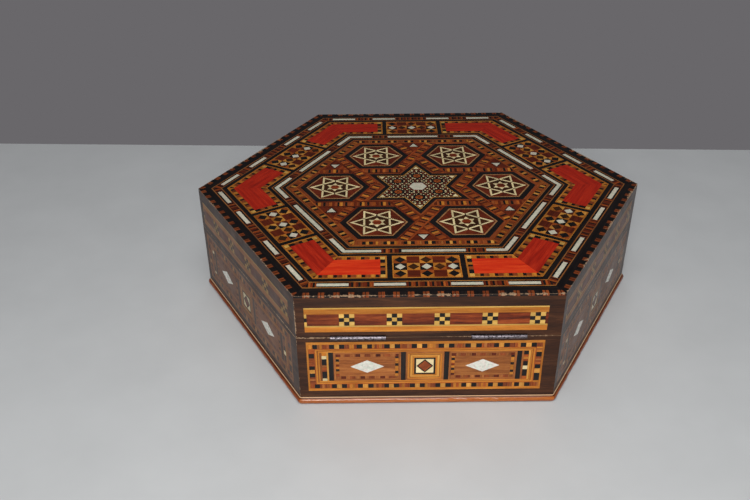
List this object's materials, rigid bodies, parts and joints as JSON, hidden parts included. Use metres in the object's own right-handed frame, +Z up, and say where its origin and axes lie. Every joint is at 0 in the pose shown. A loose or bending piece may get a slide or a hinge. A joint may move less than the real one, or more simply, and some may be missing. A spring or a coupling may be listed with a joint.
{
  "type": "wooden puzzle box",
  "caption": "Hexagonal marquetry box with a hinged lid, velvet lining, a sliding side panel over its keyhole, a hidden key drawer and a small lock.",
  "frame": {"origin": "on the floor, under the centre of the hexagon", "axes": "+Z up; the hinge side faces -Y and the lock side +Y; two corners lie on the X axis"},
  "size_m": [0.2634, 0.228, 0.0671],
  "materials": {
    "walnut_dark": "varnished walnut border",
    "walnut_brown": "varnished walnut",
    "ebony": "varnished ebony",
    "light_wood": "varnished orange wood",
    "check_wood": "yellow and black checker pieces",
    "redwood": "varnished rosewood",
    "mosaic": "dashes of small coloured wood pieces",
    "bone": "polished bone",
    "pearl": "mother-of-pearl",
    "red_inlay": "red stained wood",
    "star_ground": "dark red stained wood",
    "moulding": "varnished half-round moulding",
    "carcass": "plain planed wood",
    "velvet": "velvet over card",
    "steel": "brushed nickel-plated steel",
    "brass": "polished brass"
  },
  "bodies": {
    "base": {"base_block_columns": "bone", "base_centre_tiles": "mosaic", "base_ebony_bars": "ebony", "base_lining": "velvet", "base_mosaic_frames": "mosaic", "base_moulding": "moulding", "base_pearl_lozenges": "pearl", "base_screws": "steel", "base_side_walls": "carcass", "base_wall_hinge": "carcass", "base_wall_lock": "carcass", "base_walnut_borders": "walnut_dark", "base_walnut_panels": "walnut_brown", "bottom_board": "carcass", "drawer_runners": "carcass", "false_floor": "carcass", "hinge_base_leaves": "steel", "hinge_pins": "steel", "key_pin": "steel", "lock_case": "brass"},
    "lid": {"centre_star": "mosaic", "field_ebony_frames": "ebony", "hinge_lid_leaves": "steel", "lid_check_blocks": "check_wood", "lid_light_bands": "light_wood", "lid_lining": "velvet", "lid_redwood_strips": "redwood", "lid_screws": "steel", "lid_side_walls": "carcass", "lid_top_board": "carcass", "lid_wall_hinge": "carcass", "lid_wall_lock": "carcass", "lid_walnut_borders": "walnut_dark", "lock_strike": "brass", "medallion_grounds": "star_ground", "medallion_stars": "bone", "top_bar_mosaic": "mosaic", "top_chevron_frames": "mosaic", "top_ebony_bands": "ebony", "top_field": "star_ground", "top_lattices": "light_wood", "top_light_lines": "light_wood", "top_mosaic_bands": "mosaic", "top_pearl_bars": "pearl", "top_pearl_inlays": "pearl", "top_red_chevrons": "red_inlay"},
    "side_panel": {"panel_block_columns": "bone", "panel_centre_tiles": "mosaic", "panel_core": "carcass", "panel_ebony_bars": "ebony", "panel_mosaic_frames": "mosaic", "panel_pearl_lozenges": "pearl", "panel_walnut_borders": "walnut_dark", "panel_walnut_panels": "walnut_brown"},
    "drawer": {"drawer_moulding": "moulding", "drawer_walnut_band": "walnut_dark", "key": "brass", "key_tray": "carcass"},
    "bolt": {"lock_bolt": "brass"}
  },
  "joints": [
    {"name": "lid_hinge", "type": "hinge", "parent": "base", "child": "lid", "pos_m": [0, -0.11279, 0.0421], "axis": [1, 0, 0], "range_deg": [0, 105]},
    {"name": "panel_slide", "type": "slide", "parent": "base", "child": "side_panel", "axis": [-1, 0, 0], "range_m": [0, 0.02]},
    {"name": "drawer_slide", "type": "slide", "parent": "base", "child": "drawer", "axis": [0, 1, 0], "range_m": [0, 0.045]},
    {"name": "bolt_throw", "type": "slide", "parent": "base", "child": "bolt", "axis": [1, 0, 0], "range_m": [0, 0.0026]}
  ]
}
